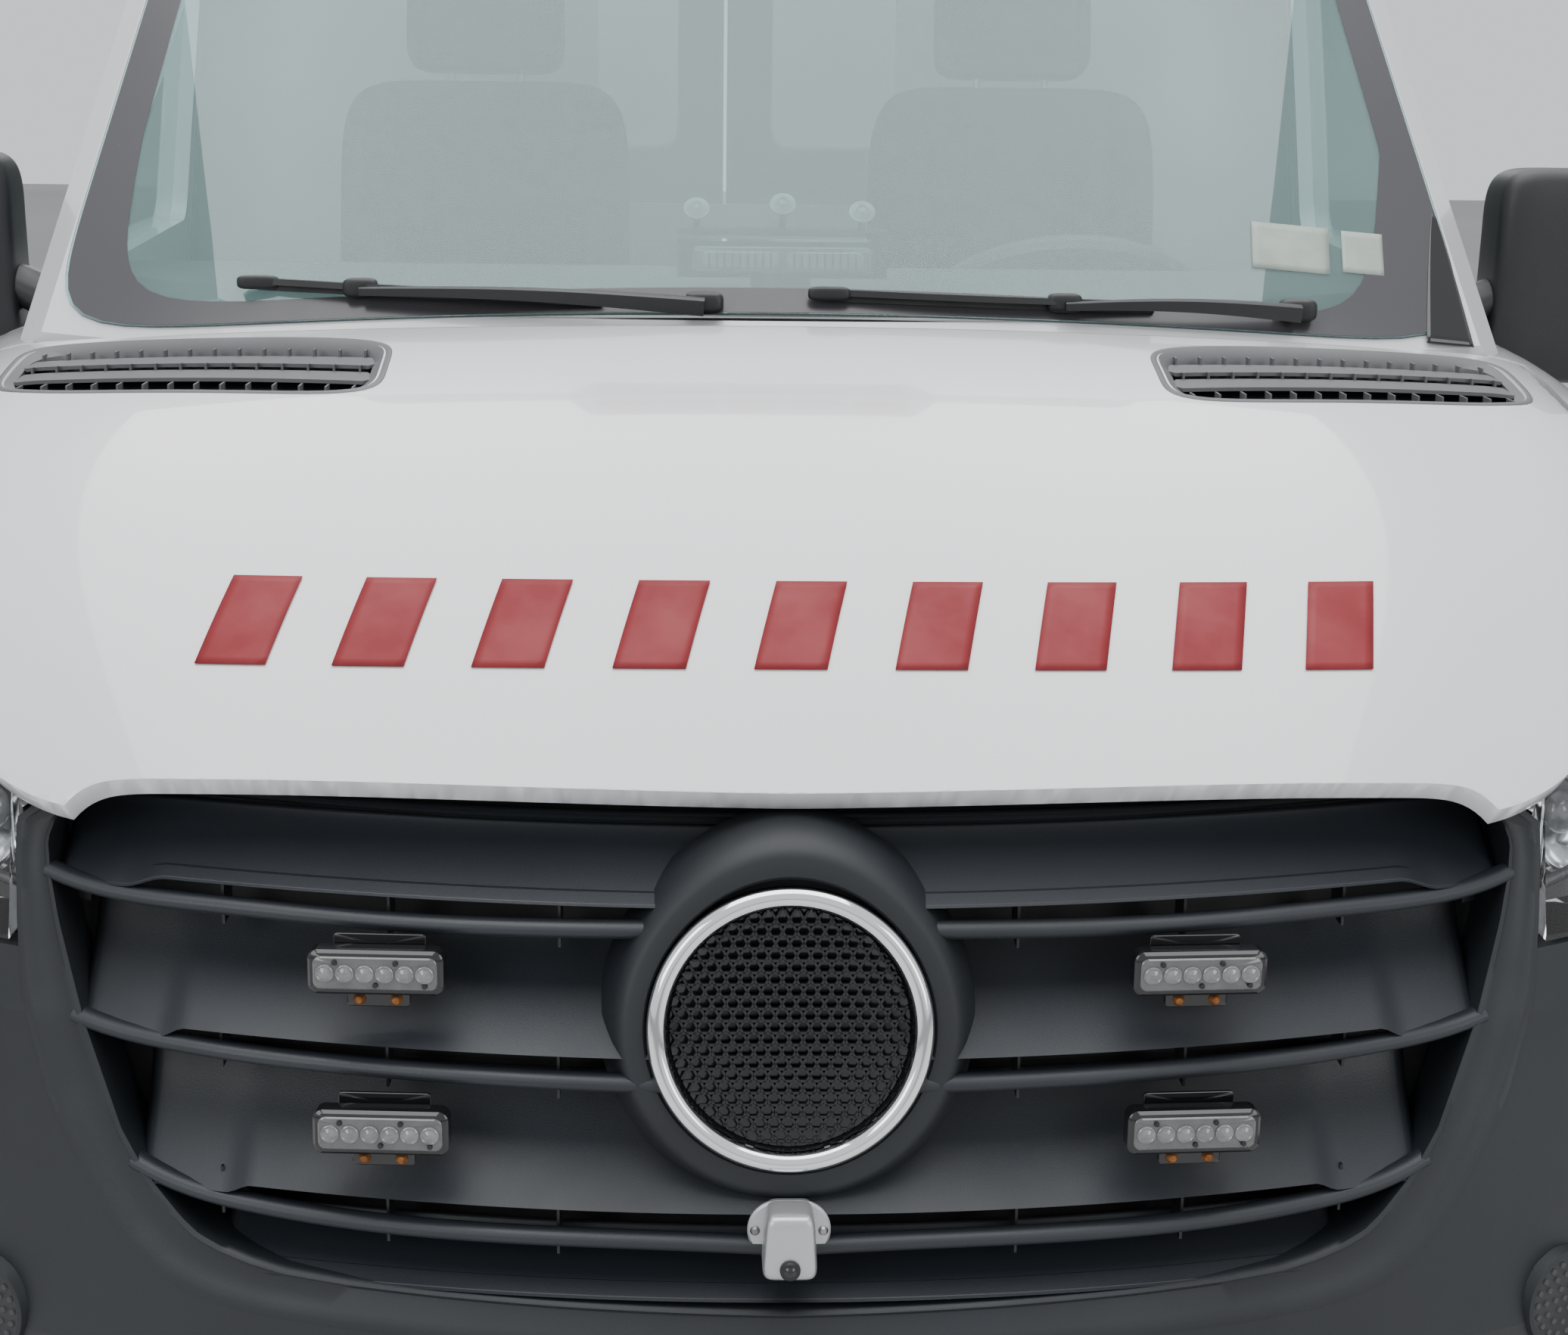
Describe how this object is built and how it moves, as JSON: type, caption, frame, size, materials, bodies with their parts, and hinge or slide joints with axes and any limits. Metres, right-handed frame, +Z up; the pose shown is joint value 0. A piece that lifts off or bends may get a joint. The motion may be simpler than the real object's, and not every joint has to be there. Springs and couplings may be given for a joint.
{
  "type": "high-roof panel van ambulance",
  "caption": "High-roof panel van fitted out as an ambulance: opening hood and doors, steered front wheels, a hollow cab and load space, warning lamps and a louvred grille.",
  "frame": {"origin": "on the ground, midway between the front and the rear bumper and between the two mirrors", "axes": "+Z up, nose towards -Y, +X towards the driver's side"},
  "size_m": [2.345, 5.9369, 2.7299],
  "materials": {
    "body_paint": "gloss",
    "chassis_paint": "satin",
    "bumper_plastic": "matte",
    "grey_plastic": "matte",
    "trim_plastic": "matte",
    "glass_clear": "tinted",
    "glass_white": "frosted",
    "lamp_clear": "clear",
    "lamp_black": "gloss",
    "lamp_red": "gloss",
    "chrome": "polished",
    "silver_metal": "satin",
    "steel": "satin",
    "iron": "cast",
    "rim_steel": "satin",
    "tyre": "matte",
    "dash_plastic": "matte",
    "seat_fabric": "woven",
    "floor_sheet": "matte",
    "cabinet_sheet": "satin"
  },
  "bodies": {
    "body": {"cab_frame": "body_paint", "windscreen": "glass_clear", "bulkhead": "chassis_paint", "wheelhouses": "trim_plastic", "fenders": "body_paint", "front_bumper": "bumper_plastic", "headlamps": "lamp_clear", "grille": "bumper_plastic", "grille_lamps": "lamp_black", "badge": "chrome", "front_camera": "silver_metal", "cowl": "trim_plastic", "side_left": "body_paint", "side_right": "body_paint", "sliding_door": "body_paint", "side_glass": "glass_white", "side_mouldings": "trim_plastic", "roof": "body_paint", "rear_frame": "body_paint", "tail_lamps": "lamp_red", "rear_bumper": "trim_plastic", "lamp_housing": "body_paint", "warning_lamps": "lamp_black", "floor": "floor_sheet", "chassis_frame": "chassis_paint", "engine": "iron", "radiator": "silver_metal", "rear_axle": "iron", "leaf_springs": "steel", "fuel_tank": "trim_plastic", "exhaust": "steel", "front_suspension": "chassis_paint", "dashboard": "dash_plastic", "dash_lamp": "lamp_black", "seats": "seat_fabric", "partition": "cabinet_sheet", "cabinets": "cabinet_sheet"},
    "hood": {"hood": "body_paint", "hood_vents": "grey_plastic"},
    "steering_wheel": {"steering_wheel": "dash_plastic"},
    "front_door_left": {"front_door_left": "body_paint", "front_door_glass_left": "glass_clear", "side_mirror_left": "trim_plastic"},
    "rear_door_left": {"rear_door_left": "body_paint", "rear_door_glass_left": "glass_white"},
    "knuckle_left": {"knuckle_left": "iron"},
    "wheel_front_left": {"tyre_front_left": "tyre", "rim_front_left": "rim_steel"},
    "wheel_rear_left": {"tyre_rear_left": "tyre", "rim_rear_left": "rim_steel"},
    "front_door_right": {"front_door_right": "body_paint", "front_door_glass_right": "glass_clear", "side_mirror_right": "trim_plastic"},
    "rear_door_right": {"rear_door_right": "body_paint", "rear_door_glass_right": "glass_white"},
    "knuckle_right": {"knuckle_right": "iron"},
    "wheel_front_right": {"tyre_front_right": "tyre", "rim_front_right": "rim_steel"},
    "wheel_rear_right": {"tyre_rear_right": "tyre", "rim_rear_right": "rim_steel"}
  },
  "joints": [
    {"name": "hood_hinge", "type": "hinge", "parent": "body", "child": "hood", "pos_m": [0, -1.964, 1.374], "axis": [-1, 0, 0], "range_deg": [0, 50]},
    {"name": "front_door_left_hinge", "type": "hinge", "parent": "body", "child": "front_door_left", "pos_m": [1.01, -1.698, 1], "axis": [0, 0, -1], "range_deg": [0, 70]},
    {"name": "rear_door_left_hinge", "type": "hinge", "parent": "body", "child": "rear_door_left", "pos_m": [0.896, 2.912, 1.4], "axis": [0, 0, -1], "range_deg": [0, 180]},
    {"name": "steer_left", "type": "hinge", "parent": "body", "child": "knuckle_left", "pos_m": [0.79, -1.962, 0.24], "axis": [-0.2477, 0, 0.9688], "range_deg": [-35, 35]},
    {"name": "wheel_front_left_spin", "type": "hinge", "parent": "knuckle_left", "child": "wheel_front_left", "pos_m": [0.867, -1.962, 0.387], "axis": [1, 0, 0], "continuous": true},
    {"name": "wheel_rear_left_spin", "type": "hinge", "parent": "body", "child": "wheel_rear_left", "pos_m": [0.858, 1.703, 0.387], "axis": [1, 0, 0], "continuous": true},
    {"name": "front_door_right_hinge", "type": "hinge", "parent": "body", "child": "front_door_right", "pos_m": [-1.01, -1.698, 1], "axis": [0, 0, 1], "range_deg": [0, 70]},
    {"name": "rear_door_right_hinge", "type": "hinge", "parent": "body", "child": "rear_door_right", "pos_m": [-0.896, 2.912, 1.4], "axis": [0, 0, 1], "range_deg": [0, 180]},
    {"name": "steer_right", "type": "hinge", "parent": "body", "child": "knuckle_right", "pos_m": [-0.79, -1.962, 0.24], "axis": [0.2477, 0, 0.9688], "range_deg": [-35, 35]},
    {"name": "wheel_front_right_spin", "type": "hinge", "parent": "knuckle_right", "child": "wheel_front_right", "pos_m": [-0.867, -1.962, 0.387], "axis": [1, 0, 0], "continuous": true},
    {"name": "wheel_rear_right_spin", "type": "hinge", "parent": "body", "child": "wheel_rear_right", "pos_m": [-0.858, 1.703, 0.387], "axis": [1, 0, 0], "continuous": true},
    {"name": "steering_wheel_turn", "type": "hinge", "parent": "body", "child": "steering_wheel", "pos_m": [0.42, -1.421, 1.335], "axis": [0, 0.6157, 0.788], "range_deg": [-500, 500]}
  ],
  "couplings": [
    {"joint": "steer_right", "follows": "steer_left", "ratio": 1},
    {"joint": "steering_wheel_turn", "follows": "steer_left", "ratio": 14}
  ]
}
